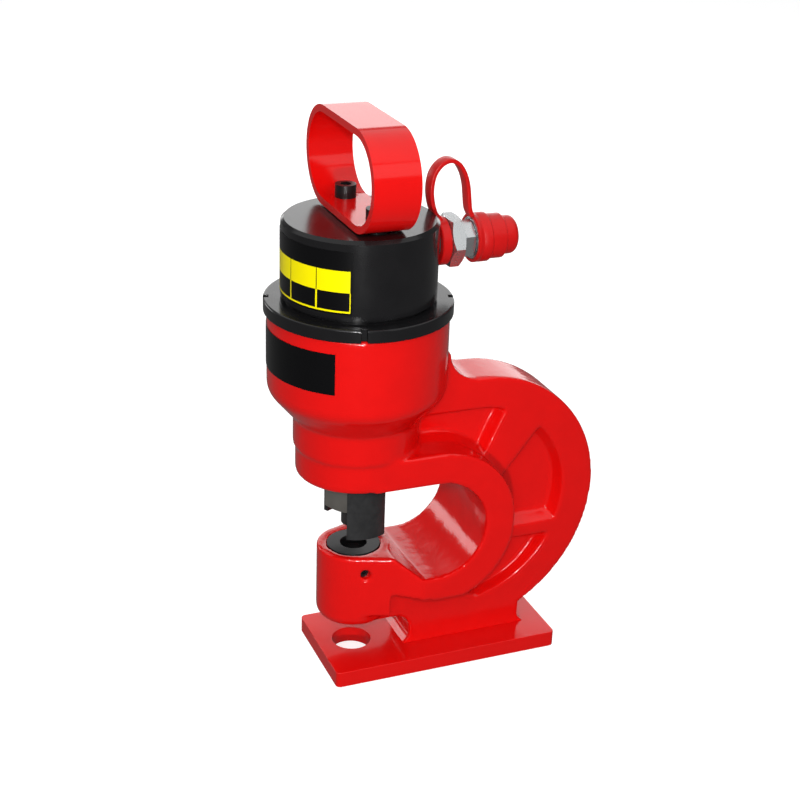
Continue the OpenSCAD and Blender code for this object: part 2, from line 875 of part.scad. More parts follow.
module valve() {
    color("gold") {
        bar_x(valve_head_x, valve_head_l, valve_chamber_r - fit);
        bar_x(valve_head_x, valve_head_l + valve_wall + valve_tip, valve_stem_r);
    }
}

// The cap's own profile: radius against length, with its open end at zero
module cap_profile() {
    difference() {
        union() {
            square([cap_r, cap_step_l]);
            square([cap_mid_r, 2 * cap_step_l]);
            square([cap_tip_r, cap_l - cap_end_r]);
            square([cap_tip_r - cap_end_r, cap_l]);
            translate([cap_tip_r - cap_end_r, cap_l - cap_end_r])
                circle(cap_end_r);
        }
        translate([0, -overrun]) square([collar_r + clear, nose_x - cap_x + clear + overrun]);
        square([nose_r + clear, cap_cavity_end - cap_x]);
        translate([-reach, 0]) square([reach, reach]);
    }
}

module dust_cap() {
    color(red) translate([cap_x, 0, coupler_z]) rotate([0, 90, 0]) rotate_extrude() cap_profile();
}

// The strap's loop in side view: a round top on two legs that lean in to the ring and the cap
module strap_outline() {
    mid = (strap_left_x + strap_right_x) / 2 - strap_lean;
    feet = [strap_left_x, strap_right_x];
    top_z = coupler_z + strap_rise - strap_loop_r;
    foot_z = coupler_z + cap_r + clear;
    difference() {
        translate([mid, top_z]) circle(strap_loop_r);
        translate([mid, top_z]) circle(strap_loop_r - strap_t);
        below(top_z);
    }
    for (i = [0, 1]) let (side = 2 * i - 1) polygon([
        [mid + side * strap_loop_r, top_z], [mid + side * (strap_loop_r - strap_t), top_z],
        [feet[i] - side * strap_t / 2, foot_z], [feet[i] + side * strap_t / 2, foot_z],
    ]);
}

module cap_strap() {
    color(red) {
        across(strap_w) strap_outline();
        difference() {
            union() {
                bar_x(neck_x + clear, strap_ring_l, strap_ring_r);
                translate([strap_left_x, 0, coupler_z + cap_r / 2])
                    translate([-strap_t / 2, -strap_w / 2, 0]) cube([strap_t, strap_w, cap_r / 2 + clear]);
            }
            bar_x(neck_x, strap_ring_l + 2 * clear, adaptor_neck_r + fit);
        }
    }
}

// A curved label centred on the front of a round body
module label(r, z, h, half_arc) {
    rotate([0, 0, 180 - half_arc]) rotate_extrude(angle = 2 * half_arc)
        translate([r + fit, z]) square([label_t, h]);
}

module rating_label() {
    color("gold") label(cylinder_d / 2, rating_z, rating_h, rating_half_arc);
}

module barrel_label() {
    color(black) label(barrel_d / 2, barrel_label_z, barrel_label_h, barrel_label_half_arc);
}

base_plate();
base_screws();
frame_foot();
frame_jaw();
frame_bend();
frame_spine();
frame_head();
die();
die_screw();
stripper();
stripper_screws();
guide_bush();
rod_wiper();
spring_seat();
return_spring();
ram();
wear_ring();
piston_seal();
punch();
punch_nut();
cylinder_body();  // cylinder
lock_ring();
handle_spacers();
handle();
handle_screws();
port_seal();
adaptor();
coupler();
valve_stop();
valve_spring();
valve();
dust_cap();
cap_strap();
rating_label();
barrel_label();
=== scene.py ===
# A hydraulic hole punch, dressed over its CAD solids in metres: +Z up the punch axis, +X back to the spine.
import math

import bmesh
import bpy
from mathutils import Matrix, Vector


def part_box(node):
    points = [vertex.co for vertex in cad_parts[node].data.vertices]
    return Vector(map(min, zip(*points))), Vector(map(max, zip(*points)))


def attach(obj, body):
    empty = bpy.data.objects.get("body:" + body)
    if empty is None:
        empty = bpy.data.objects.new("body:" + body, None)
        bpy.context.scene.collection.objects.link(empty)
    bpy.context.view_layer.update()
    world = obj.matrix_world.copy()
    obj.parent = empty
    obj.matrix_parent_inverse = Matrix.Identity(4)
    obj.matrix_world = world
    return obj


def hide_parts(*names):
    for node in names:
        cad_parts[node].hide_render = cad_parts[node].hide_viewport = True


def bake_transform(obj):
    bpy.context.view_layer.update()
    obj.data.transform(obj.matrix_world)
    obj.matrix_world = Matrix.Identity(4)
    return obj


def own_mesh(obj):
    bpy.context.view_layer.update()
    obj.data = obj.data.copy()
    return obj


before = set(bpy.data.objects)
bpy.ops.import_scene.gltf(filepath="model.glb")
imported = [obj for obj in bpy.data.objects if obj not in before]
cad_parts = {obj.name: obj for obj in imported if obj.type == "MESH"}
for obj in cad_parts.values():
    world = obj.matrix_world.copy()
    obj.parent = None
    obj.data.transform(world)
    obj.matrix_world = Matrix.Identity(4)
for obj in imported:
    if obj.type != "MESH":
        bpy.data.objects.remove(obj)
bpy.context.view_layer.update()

# Camera: a short telephoto lens, above the punch and left of square to its side, rolled by two degrees.
# It stands where the picture of the punch was taken from.
camera_data = bpy.data.cameras.new("camera")
camera_data.lens, camera_data.sensor_width = 69.69, 36.0
camera_data.clip_start, camera_data.clip_end = 0.05, 50.0
camera = bpy.data.objects.new("camera", camera_data)
bpy.context.scene.collection.objects.link(camera)
bpy.context.scene.camera = camera
bpy.context.scene.view_settings.view_transform = "Standard"
azimuth, elevation, roll = math.radians(-22.65), math.radians(23.97), math.radians(1.99)
aim_height, aim_right, aim_up, camera_distance = 0.217, 0.03391, 0.01035, 1.19655
look_back = Vector((math.sin(azimuth) * math.cos(elevation),
                    -math.cos(azimuth) * math.cos(elevation),
                    math.sin(elevation)))
level_right = Vector((math.cos(azimuth), math.sin(azimuth), 0.0))
level_up = look_back.cross(level_right)
look_right = level_right * math.cos(roll) + level_up * math.sin(roll)
look_up = level_up * math.cos(roll) - level_right * math.sin(roll)
look_at = Vector((0.0, 0.0, aim_height)) + look_right * aim_right + look_up * aim_up
camera_turn = Matrix((look_right, look_up, look_back)).transposed().to_4x4()
camera.matrix_world = Matrix.Translation(look_at + look_back * camera_distance) @ camera_turn

# Studio: a white paper sweep under a broad soft box, as for a catalogue picture. A panel behind the punch
# shows in its upper faces, two flashes by the lens put glints on the rounded edges, and two cards brighten
# the coupler and the throat. The sweep rises to a wall all round, and throws no light back on the punch.
sky = bpy.data.worlds.new("dim_sky")
bpy.context.scene.world = sky
sky.use_nodes = True
sky_glow = sky.node_tree.nodes["Background"]
sky_glow.inputs["Color"].default_value = (1.0, 1.0, 1.0, 1.0)
sky_glow.inputs["Strength"].default_value = 0.16


def studio_panel(name, place, aim, width, height, power):
    """A rectangular lamp that faces the point it aims at and is hidden from the lens."""
    light = bpy.data.lights.new(name, "AREA")
    light.shape, light.size, light.size_y, light.energy = "RECTANGLE", width, height, power
    panel = bpy.data.objects.new(name, light)
    facing = (Vector(aim) - Vector(place)).to_track_quat("-Z", "Y").to_matrix().to_4x4()
    panel.matrix_world = Matrix.Translation(place) @ facing
    panel.visible_camera = False
    bpy.context.scene.collection.objects.link(panel)


frame_middle, coupler_side, throat_floor = (0.04, 0.0, 0.24), (0.08, 0.0, 0.35), (0.08, 0.0, 0.11)
studio_panel("soft_box", place=(0.3, 0.8, 3.5), aim=(0.3, 0.8, 0.0), width=7.0, height=7.0, power=130.0)
studio_panel("back_panel", place=(0.85, 1.9, 0.7), aim=(0.05, 0.0, 0.38), width=2.2, height=1.16, power=14.8)
studio_panel("front_panel", place=(-0.75, -1.3, 1.05), aim=frame_middle, width=0.8, height=0.6, power=7.0)
studio_panel("upper_flash", place=(-0.4, -1.01, 0.79), aim=frame_middle, width=0.07, height=0.05, power=5.0)
studio_panel("lower_flash", place=(-0.36, -1.08, 0.27), aim=frame_middle, width=0.07, height=0.05, power=5.5)
studio_panel("bounce_card", place=(0.52, -1.03, 1.03), aim=coupler_side, width=0.4, height=0.6, power=0.8)
studio_panel("throat_card", place=(-1.05, 1.83, 0.55), aim=throat_floor, width=0.8, height=0.5, power=5.5)

sweep_gap, sweep_radius, bend_radius, wall_height = 0.0003, 4.5, 1.5, 4.0
bend_steps, round_steps, sweep_weld = 12, 96, 0.0001
sweep_line = [(0.0, 0.0)]
for step in range(bend_steps + 1):
    rise = math.radians(90.0) * step / bend_steps
    sweep_line.append((sweep_radius + bend_radius * math.sin(rise), bend_radius * (1.0 - math.cos(rise))))
sweep_line.append((sweep_radius + bend_radius, wall_height))
floor_bm = bmesh.new()
line_verts = [floor_bm.verts.new((out, 0.0, up - sweep_gap)) for out, up in sweep_line]
line_edges = [floor_bm.edges.new(pair) for pair in zip(line_verts, line_verts[1:])]
bmesh.ops.spin(floor_bm, geom=[*line_verts, *line_edges], cent=(0.0, 0.0, 0.0), axis=(0.0, 0.0, 1.0),
               angle=math.radians(360.0), steps=round_steps, use_merge=True)
bmesh.ops.remove_doubles(floor_bm, verts=floor_bm.verts, dist=sweep_weld)
bmesh.ops.recalc_face_normals(floor_bm, faces=floor_bm.faces)
for sweep_face in floor_bm.faces:
    sweep_face.smooth = True
floor_mesh = bpy.data.meshes.new("floor")
floor_bm.to_mesh(floor_mesh)
floor_bm.free()
floor = bpy.data.objects.new("floor", floor_mesh)
bpy.context.scene.collection.objects.link(floor)
floor_paper = bpy.data.materials.new("white_paper")
floor_paper.use_nodes = True
floor_shader = floor_paper.node_tree.nodes["Principled BSDF"]
floor_shader.inputs["Base Color"].default_value = (0.55, 0.55, 0.55, 1.0)
floor_shader.inputs["Roughness"].default_value = 0.8
floor_shader.inputs["Emission Color"].default_value = (1.0, 1.0, 1.0, 1.0)
floor_shader.inputs["Emission Strength"].default_value = 0.7
floor_mesh.materials.append(floor_paper)
floor.visible_diffuse = floor.visible_glossy = False


# Base plate: a flat steel plate under the foot, sprayed with the casting's red enamel, with the slug outlet
# ahead of the foot and two counterbored screws up into it. Its edges are broken by hand before painting.
def surface_group():
    """Colour, roughness and height of a worked surface: broad patches over a fine grain."""
    group = bpy.data.node_groups.new("worked_surface", "ShaderNodeTree")
    group.interface.new_socket("Colour", in_out="INPUT", socket_type="NodeSocketColor")
    for label in ("Patch", "Patch Scale", "Roughness", "Roughness Spread", "Grain Scale", "Waviness"):
        group.interface.new_socket(label, in_out="INPUT", socket_type="NodeSocketFloat")
    group.interface.new_socket("Colour", in_out="OUTPUT", socket_type="NodeSocketColor")
    for label in ("Roughness", "Height"):
        group.interface.new_socket(label, in_out="OUTPUT", socket_type="NodeSocketFloat")
    nodes, links = group.nodes, group.links
    given, out = nodes.new("NodeGroupInput"), nodes.new("NodeGroupOutput")
    place = nodes.new("ShaderNodeTexCoord")
    patches, grain = nodes.new("ShaderNodeTexNoise"), nodes.new("ShaderNodeTexNoise")
    for noise, scale in ((patches, "Patch Scale"), (grain, "Grain Scale")):
        noise.inputs["Detail"].default_value = 3.0
        links.new(place.outputs["Object"], noise.inputs["Vector"])
        links.new(given.outputs[scale], noise.inputs["Scale"])

    def varied(amount, middle):
        """A value that the patches carry above and below a middle one: a number, or an input's name."""
        centred, scaled, summed = (nodes.new("ShaderNodeMath") for _ in range(3))
        centred.operation, scaled.operation, summed.operation = "SUBTRACT", "MULTIPLY", "ADD"
        centred.inputs[1].default_value = 0.5
        links.new(patches.outputs["Fac"], centred.inputs[0])
        links.new(centred.outputs[0], scaled.inputs[0])
        links.new(given.outputs[amount], scaled.inputs[1])
        links.new(scaled.outputs[0], summed.inputs[0])
        if isinstance(middle, str):
            links.new(given.outputs[middle], summed.inputs[1])
        else:
            summed.inputs[1].default_value = middle
        return summed.outputs[0]

    tone = nodes.new("ShaderNodeHueSaturation")
    links.new(varied("Patch", 1.0), tone.inputs["Value"])
    links.new(given.outputs["Colour"], tone.inputs["Color"])
    links.new(tone.outputs["Color"], out.inputs["Colour"])
    links.new(varied("Roughness Spread", "Roughness"), out.inputs["Roughness"])
    wave = nodes.new("ShaderNodeMath")
    wave.operation = "MULTIPLY_ADD"
    links.new(patches.outputs["Fac"], wave.inputs[0])
    links.new(given.outputs["Waviness"], wave.inputs[1])
    links.new(grain.outputs["Fac"], wave.inputs[2])
    links.new(wave.outputs[0], out.inputs["Height"])
    return group


worked_surface = surface_group()


def finish_of(name, colour, roughness, metallic=0.0, patch=0.1, patch_scale=40.0, spread=0.1,
              grain_scale=900.0, grain_depth=0.00004, waviness=0.0, specular=0.5):
    """A material over the worked surface group, with its own colour, gloss and grain."""
    made = bpy.data.materials.new(name)
    made.use_nodes = True
    nodes, links = made.node_tree.nodes, made.node_tree.links
    shader = nodes["Principled BSDF"]
    shader.inputs["Metallic"].default_value = metallic
    shader.inputs["Specular IOR Level"].default_value = specular
    skin = nodes.new("ShaderNodeGroup")
    skin.node_tree = worked_surface
    skin.inputs["Colour"].default_value = (*colour, 1.0)
    for label, value in (("Patch", patch), ("Patch Scale", patch_scale), ("Roughness", roughness),
                         ("Roughness Spread", spread), ("Grain Scale", grain_scale), ("Waviness", waviness)):
        skin.inputs[label].default_value = value
    bump = nodes.new("ShaderNodeBump")
    bump.inputs["Strength"].default_value = 0.6
    bump.inputs["Distance"].default_value = grain_depth
    links.new(skin.outputs["Colour"], shader.inputs["Base Color"])
    links.new(skin.outputs["Roughness"], shader.inputs["Roughness"])
    links.new(skin.outputs["Height"], bump.inputs["Height"])
    links.new(bump.outputs["Normal"], shader.inputs["Normal"])
    return made


def merged_copy(*nodes):
    """A bmesh of one or more CAD nodes with their loose triangles joined."""
    bm, weld = bmesh.new(), 0.000002
    for node in nodes:
        bm.from_mesh(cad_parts[node].data)
    bmesh.ops.remove_doubles(bm, verts=bm.verts, dist=weld)
    return bm


def add_piece(bm, name, material, body, slot, *nodes):
    """Turns a finished bmesh into a piece that stands for CAD nodes and rides on a body. A piece that is
    blended between two bodies names none."""
    crease = math.radians(38.0)
    for face in bm.faces:
        face.smooth = True
    mesh = bpy.data.meshes.new(name)
    bm.to_mesh(mesh)
    bm.free()
    mesh.set_sharp_from_angle(angle=crease)
    mesh.materials.append(material)
    piece = bpy.data.objects.new(name, mesh)
    bpy.context.scene.collection.objects.link(piece)
    if body:
        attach(piece, body)
    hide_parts(*nodes)
    return piece


def softened(node, name, material, body, slot, width, segments=3):
    """A CAD node with its sharp edges broken to a small radius."""
    bm, flat, edge = merged_copy(node), math.radians(0.5), math.radians(32.0)
    bmesh.ops.dissolve_limit(bm, angle_limit=flat, use_dissolve_boundaries=False,
                             verts=bm.verts, edges=bm.edges, delimit=set())
    sharp = [e for e in bm.edges if len(e.link_faces) == 2 and e.calc_face_angle(0.0) > edge]
    bmesh.ops.bevel(bm, geom=sharp, offset=width, offset_type="OFFSET", segments=segments, profile=0.5,
                    affect="EDGES", clamp_overlap=True, material=-1)
    piece = add_piece(bm, name, material, body, slot, node)
    even = piece.modifiers.new("even_normals", "WEIGHTED_NORMAL")
    even.keep_sharp = True


def finished_node(node, material):
    """A CAD node that is right as it is, with its material changed."""
    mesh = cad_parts[node].data
    mesh.materials.clear()
    mesh.materials.append(material)


enamel_red = (0.7, 0.0035, 0.003)
red_enamel = finish_of("red_enamel", enamel_red, roughness=0.14, patch=0.1, patch_scale=45.0, spread=0.06,
                       grain_scale=420.0, grain_depth=0.00004, waviness=4.0, specular=0.4)
black_screw = finish_of("blackened_screw", (0.012, 0.012, 0.013), roughness=0.35, metallic=0.4,
                        grain_scale=1500.0)
softened("base_plate", "painted_base_plate", red_enamel, "frame_body", "red_paint", width=0.0014)
finished_node("base_screws", black_screw)

# Frame: one iron casting with foot, die boss, throat band, pocketed web, jaw and barrel. Sand casting leaves
# every edge round and every inside corner filled, so the solids' one skin is wrapped and eased before it is
# painted. The foot runs a little into the plate and spreads where it meets it.
cast_nodes = ("frame_foot", "frame_jaw", "frame_bend", "frame_spine", "frame_head")
same_place, seat_depth, skin_voxel = 0.00002, 0.002, 0.0015
cast_skin = merged_copy(*cast_nodes)
foot_low, foot_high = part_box("frame_foot")
joins = [(0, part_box("frame_spine")[0].x), (0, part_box("frame_bend")[0].x), (2, foot_high.z)]
inside = [f for f in cast_skin.faces
          if any(all(abs(v.co[axis] - at) < same_place for v in f.verts) for axis, at in joins)]
bmesh.ops.delete(cast_skin, geom=inside, context="FACES")
for vert in cast_skin.verts:
    if vert.co.z < foot_low.z + same_place:
        vert.co.z -= seat_depth
cast_mesh = bpy.data.meshes.new("cast_skin")
cast_skin.to_mesh(cast_mesh)
cast_skin.free()
casting = bpy.data.objects.new("cast_skin", cast_mesh)
bpy.context.scene.collection.objects.link(casting)
wrap = casting.modifiers.new("wrap", "REMESH")
wrap.mode, wrap.voxel_size = "VOXEL", skin_voxel
ease = casting.modifiers.new("ease", "SMOOTH")
ease.factor, ease.iterations = 0.5, 8
bpy.context.view_layer.update()
eased = bmesh.new()
eased.from_object(casting, bpy.context.evaluated_depsgraph_get())
bpy.data.objects.remove(casting)
foot_front, foot_rear, spread_height, foot_spread = 0.043, 0.1415, 0.008, 0.0055
foot_mid, foot_half = (foot_rear + foot_front) / 2.0, (foot_rear - foot_front) / 2.0
for vert in eased.verts:
    lower = min((foot_low.z + spread_height - vert.co.z) / spread_height, 1.0)
    if lower > 0.0:
        vert.co.x += (vert.co.x - foot_mid) / foot_half * foot_spread * lower ** 2
cast_enamel = finish_of("cast_red_enamel", enamel_red, roughness=0.14, patch=0.12, patch_scale=60.0,
                        spread=0.06, grain_scale=300.0, grain_depth=0.00006, waviness=13.0, specular=0.4)
add_piece(eased, "painted_casting", cast_enamel, "frame_body", "red_paint", *cast_nodes)

# Die and its locking screw: a hardened ring, oil blacked, dropped into the boss from above. A zinc grub
# screw, sunk in the boss's side, bears on it so that it can't lift with the work. Its zinc is painted dark,
# as painted shade for the shadow deep in its hole.
die_black = finish_of("oil_blacked_die", (0.011, 0.0115, 0.012), roughness=0.33, metallic=0.2, patch=0.7,
                      patch_scale=150.0, spread=0.2, grain_scale=1400.0, grain_depth=0.00003, specular=0.25)
# Painted shade: the zinc colour is made dark to stand for the shadow inside the screw's hole.
zinc_in_painted_shade = finish_of("zinc_in_painted_shade", (0.06, 0.063, 0.065), roughness=0.3, metallic=0.9, patch=0.4,
                      patch_scale=300.0, spread=0.2)
softened("die", "hardened_die", die_black, "frame_body", "tool_steel", width=0.0005)
finished_node("die_screw", zinc_in_painted_shade)

# Stripper: two legs of blackened tool steel on one flange, screwed up into a recess under the jaw. They
# hold the work down as the punch draws out of it.
tool_black = finish_of("blackened_tool_steel", (0.03, 0.03, 0.031), roughness=0.38, metallic=0.3, patch=0.9,
                       patch_scale=150.0, spread=0.25, grain_scale=1400.0, grain_depth=0.00005, specular=0.4)
softened("stripper", "stripper_legs", tool_black, "frame_body", "tool_steel", width=0.0007)
finished_node("stripper_screws", black_screw)

# Rod guide: a bronze bush in the neck over a rubber wiper, which keeps dirt off the rod. A flat steel
# washer above them is the return spring's seat.
guide_bronze = finish_of("guide_bronze", (0.42, 0.24, 0.08), roughness=0.35, metallic=0.9, grain_scale=1000.0)
seal_rubber = finish_of("seal_rubber", (0.02, 0.02, 0.02), roughness=0.7, grain_scale=1500.0)
plain_steel = finish_of("machined_steel", (0.34, 0.32, 0.29), roughness=0.38, metallic=0.9, patch=0.25,
                        patch_scale=90.0, spread=0.2, grain_scale=1100.0, grain_depth=0.00004)
finished_node("guide_bush", guide_bronze)
finished_node("rod_wiper", seal_rubber)
finished_node("spring_seat", plain_steel)

# Return spring: round spring wire, coiled and left bare, between the seat and the piston. It shortens as
# the ram comes down, and lifts the ram when the oil is let out.
spring_coil = add_piece(merged_copy("return_spring"), "ram_return_spring", plain_steel, "frame_body",
                        "plain_steel", "return_spring")
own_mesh(spring_coil)

# Ram: a ground and chromed steel rod in one with its piston. A bronze wear ring and a rubber seal are
# sprung into grooves round the piston.
hard_chrome = finish_of("ground_chrome", (0.62, 0.62, 0.64), roughness=0.16, metallic=1.0, grain_scale=1200.0,
                        grain_depth=0.00001)
finished_node("ram", hard_chrome)
finished_node("wear_ring", guide_bronze)
finished_node("piston_seal", seal_rubber)


# Punch and its nut: a blackened punch with a collar, drawn up against the rod by a nut. The nut is turned
# from hexagon bar, and its corners are turned off at thirty degrees, which leaves round-topped faces.
def turned(stations, stand):
    """A closed body round its own +X, stood in place by a matrix. Each station is a distance and a radius.
    On a hexagon the radius is half the width across the flats, and the turn and the corners' lean follow."""
    bm, ring_points, weld = bmesh.new(), 72, 0.000001
    flat_step, corner_slope = math.radians(60.0), math.radians(30.0)
    first = bmesh.ops.create_circle(bm, cap_ends=False, segments=ring_points, radius=1.0)["verts"]
    angles = [math.atan2(v.co.y, v.co.x) for v in first]

    def put(verts, station):
        along, radius, *hexagonal = station
        for vert, angle in zip(verts, angles):
            reach, shift = radius, 0.0
            if hexagonal:
                turn, lean = hexagonal
                reach = radius / math.cos((angle - turn) % flat_step - flat_step / 2.0)
                shift = lean * (reach - radius) * math.tan(corner_slope)
            vert.co = stand @ Vector((along + shift, reach * math.cos(angle), reach * math.sin(angle)))

    put(first, stations[0])
    rings = [first]
    for station in stations[1:]:
        last = set(rings[-1])
        edges = [e for e in bm.edges if e.verts[0] in last and e.verts[1] in last]
        grown = bmesh.ops.extrude_edge_only(bm, edges=edges)["geom"]
        above = {e.other_vert(v): v for v in grown if isinstance(v, bmesh.types.BMVert)
                 for e in v.link_edges if e.other_vert(v) in last}
        rings.append([above[v] for v in rings[-1]])
        put(rings[-1], station)
    ends = [set(rings[0]), set(rings[-1])]
    loops = [e for e in bm.edges if any(e.verts[0] in end and e.verts[1] in end for end in ends)]
    bmesh.ops.bridge_loops(bm, edges=loops)
    bmesh.ops.remove_doubles(bm, verts=bm.verts, dist=weld)
    bmesh.ops.delete(bm, geom=[e for e in bm.edges if not e.link_faces], context="EDGES")
    bmesh.ops.recalc_face_normals(bm, faces=bm.faces)
    return bm


def hexagon(start, end, half_width, face, edge, turn):
    """The stations of a length of hexagon bar with its corners turned off at both ends."""
    return [(start, face), (start + edge, half_width, turn, 1.0),
            (end - edge, half_width, turn, -1.0), (end, face)]


softened("punch", "hardened_punch", tool_black, "ram_body", "tool_steel", width=0.0004)
nut_low, nut_high = (corner.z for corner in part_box("punch_nut"))
nut_yaw, nut_turn, upright = math.radians(8.0), math.radians(30.0), math.radians(-90.0)
nut_hole, nut_socket, nut_floor_thick = 0.0103, 0.0171, 0.006
nut_floor = nut_low + nut_floor_thick
nut_stand = Matrix.Rotation(nut_yaw, 4, "Z") @ Matrix.Rotation(upright, 4, "Y")
nut_bm = turned([
    (nut_low, nut_hole),
    *hexagon(nut_low, nut_high, half_width=0.0225, face=0.0216, edge=0.0003, turn=nut_turn),
    (nut_high, nut_socket), (nut_floor, nut_socket), (nut_floor, nut_hole)], nut_stand)
add_piece(nut_bm, "hexagon_punch_nut", plain_steel, "ram_body", "plain_steel", "punch_nut")

# Cylinder and lock ring: turned steel with a black oxide finish that shines like satin. The ring locks the
# cylinder's thread in the barrel, and is turned by a hook spanner in its four slots.
black_satin = finish_of("black_oxide_satin", (0.0085, 0.0083, 0.009), roughness=0.19, patch=0.5,
                        patch_scale=60.0, spread=0.1, grain_scale=1300.0, grain_depth=0.00003, specular=0.3)
softened("cylinder", "oil_cylinder", black_satin, "frame_body", "black_satin", width=0.0016, segments=4)
softened("lock_ring", "slotted_lock_ring", black_satin, "frame_body", "black_satin", width=0.0006)

# Labels: printed film stuck round the cylinder and the barrel. The upper one keeps its ruled table with a
# yellow heading row, and every cell is blank. The lower one is plain black.
film_black, film_yellow = (0.003, 0.003, 0.0034), (0.95, 0.82, 0.0)


def rating_film():
    """A table drawn by the height and the turn round the cylinder, counted from the front."""
    half_table, columns, rule = math.radians(63.6), 5, 0.0014
    table_low, table_mid, table_high, film_radius = 0.3214, 0.3366, 0.3528, 0.0589
    half_cell = half_table / columns * film_radius
    made = bpy.data.materials.new("rating_film")
    made.use_nodes = True
    nodes, links = made.node_tree.nodes, made.node_tree.links
    shader = nodes["Principled BSDF"]
    shader.inputs["Roughness"].default_value = 0.3
    shader.inputs["Specular IOR Level"].default_value = 0.15
    place, parts = nodes.new("ShaderNodeTexCoord"), nodes.new("ShaderNodeSeparateXYZ")
    links.new(place.outputs["Object"], parts.inputs["Vector"])

    def sum_of(operation, *values):
        """The output of a Math node, fed with numbers and with other nodes' outputs."""
        node = nodes.new("ShaderNodeMath")
        node.operation = operation
        for socket, value in zip(node.inputs, values):
            if isinstance(value, (int, float)):
                socket.default_value = value
            else:
                links.new(value, socket)
        return node.outputs[0]

    def between(value, low, high):
        return sum_of("MULTIPLY", sum_of("GREATER_THAN", value, low), sum_of("LESS_THAN", value, high))

    back_x = sum_of("MULTIPLY", parts.outputs["X"], -1.0)
    back_y = sum_of("MULTIPLY", parts.outputs["Y"], -1.0)
    turn, height = sum_of("ARCTAN2", back_y, back_x), parts.outputs["Z"]
    column = sum_of("MULTIPLY", sum_of("ADD", turn, half_table), columns / (2.0 * half_table))
    off_middle = sum_of("ABSOLUTE", sum_of("SUBTRACT", sum_of("FRACT", column), 0.5))
    across = sum_of("MULTIPLY", off_middle, 2.0 * half_cell)
    in_table = between(turn, -half_table, half_table)
    in_column = sum_of("LESS_THAN", across, half_cell - rule / 4.0)
    heading = sum_of("MULTIPLY", between(height, table_mid, table_high), in_column)
    in_cell = sum_of("LESS_THAN", across, half_cell - rule / 2.0)
    cell = sum_of("MULTIPLY", between(height, table_low + rule, table_mid), in_cell)
    ruling = sum_of("MULTIPLY", between(height, table_low, table_mid), sum_of("SUBTRACT", 1.0, cell))
    yellow = sum_of("MULTIPLY", in_table, sum_of("MAXIMUM", heading, ruling))
    ink = nodes.new("ShaderNodeMix")
    ink.data_type = "RGBA"
    links.new(yellow, ink.inputs["Factor"])
    ink.inputs["A"].default_value = (*film_black, 1.0)
    ink.inputs["B"].default_value = (*film_yellow, 1.0)
    links.new(ink.outputs["Result"], shader.inputs["Base Color"])
    return made


black_film = finish_of("black_film", film_black, roughness=0.28, patch=0.3, grain_scale=700.0,
                       grain_depth=0.00002, specular=0.15)
finished_node("rating_label", rating_film())
finished_node("barrel_label", black_film)

# Handle: a flat steel strap rolled into a closed loop, edges rounded and painted red. Two cap screws through
# spacers hold it on the cylinder's end.
softened("handle", "carry_handle", red_enamel, "frame_body", "red_paint", width=0.0024, segments=5)
softened("handle_screws", "handle_cap_screws", black_screw, "frame_body", "black_steel", width=0.0012)
finished_node("handle_spacers", black_screw)

# Adaptor: turned from hexagon bar and zinc plated, with the corners turned off like the nut's. It is screwed
# into the cylinder's port against a rubber ring, and its flats came to rest a few degrees from level.
bright_zinc = finish_of("bright_zinc", (0.6, 0.62, 0.63), roughness=0.27, metallic=0.95, patch=0.06,
                        patch_scale=160.0, spread=0.05, grain_scale=1200.0, grain_depth=0.000004)
coupler_z, turned_edge = 0.351, 0.0005
on_coupler_axis = Matrix.Translation((0.0, 0.0, coupler_z))
adaptor_start, neck_start, adaptor_end = 0.0411, 0.05925, 0.0873
hexagon_start, hexagon_end, adaptor_turn = 0.06755, 0.07855, math.radians(5.0)
oil_way, thread_radius, neck_radius = 0.0035, 0.0085, 0.0120
adaptor_bm = turned([
    (adaptor_start, oil_way), (adaptor_start, thread_radius - turned_edge),
    (adaptor_start + turned_edge, thread_radius), (neck_start, thread_radius),
    (neck_start, neck_radius - turned_edge), (neck_start + turned_edge, neck_radius),
    (hexagon_start, neck_radius),
    *hexagon(hexagon_start, hexagon_end, half_width=0.0180, face=0.0171, edge=0.0004, turn=adaptor_turn),
    (hexagon_end, thread_radius), (adaptor_end - turned_edge, thread_radius),
    (adaptor_end, thread_radius - turned_edge), (adaptor_end, oil_way)], on_coupler_axis)
add_piece(adaptor_bm, "hexagon_adaptor", bright_zinc, "frame_body", "zinc_steel", "adaptor")

# Coupler: a smaller hexagon of the same plated bar, with a collar and a nose for the hose's socket. It is
# screwed on the adaptor's end, so its corners stand at an angle of their own.
coupler_start, collar_start, collar_end, nose_end = 0.07857, 0.08835, 0.1003, 0.1153
socket_end, chamber_end, coupler_turn = 0.0884, 0.1113, math.radians(-20.0)
socket_radius, chamber_radius, valve_hole = 0.0087, 0.0060, 0.00306
collar_radius, nose_radius = 0.0160, 0.0110
coupler_bm = turned([
    (coupler_start, socket_radius),
    *hexagon(coupler_start, collar_start, half_width=0.01375, face=0.0131, edge=0.00035, turn=coupler_turn),
    (collar_start, collar_radius - turned_edge), (collar_start + turned_edge, collar_radius),
    (collar_end - turned_edge, collar_radius), (collar_end, collar_radius - turned_edge),
    (collar_end, nose_radius), (nose_end - turned_edge, nose_radius), (nose_end, nose_radius - turned_edge),
    (nose_end, valve_hole), (chamber_end, valve_hole), (chamber_end, chamber_radius),
    (socket_end, chamber_radius), (socket_end, socket_radius)], on_coupler_axis)
add_piece(coupler_bm, "quick_coupler", bright_zinc, "frame_body", "zinc_steel", "coupler")

# Check valve: a bronze valve in the coupler's nose, held shut by a small coil spring against a steel stop.
# The hose's socket pushes it in, and the spring shortens. The port's rubber ring is finished here too.
finished_node("port_seal", seal_rubber)
finished_node("valve_stop", plain_steel)
finished_node("valve", guide_bronze)
valve_coil = add_piece(merged_copy("valve_spring"), "coupler_valve_spring", plain_steel, "frame_body",
                       "plain_steel", "valve_spring")
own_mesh(valve_coil)

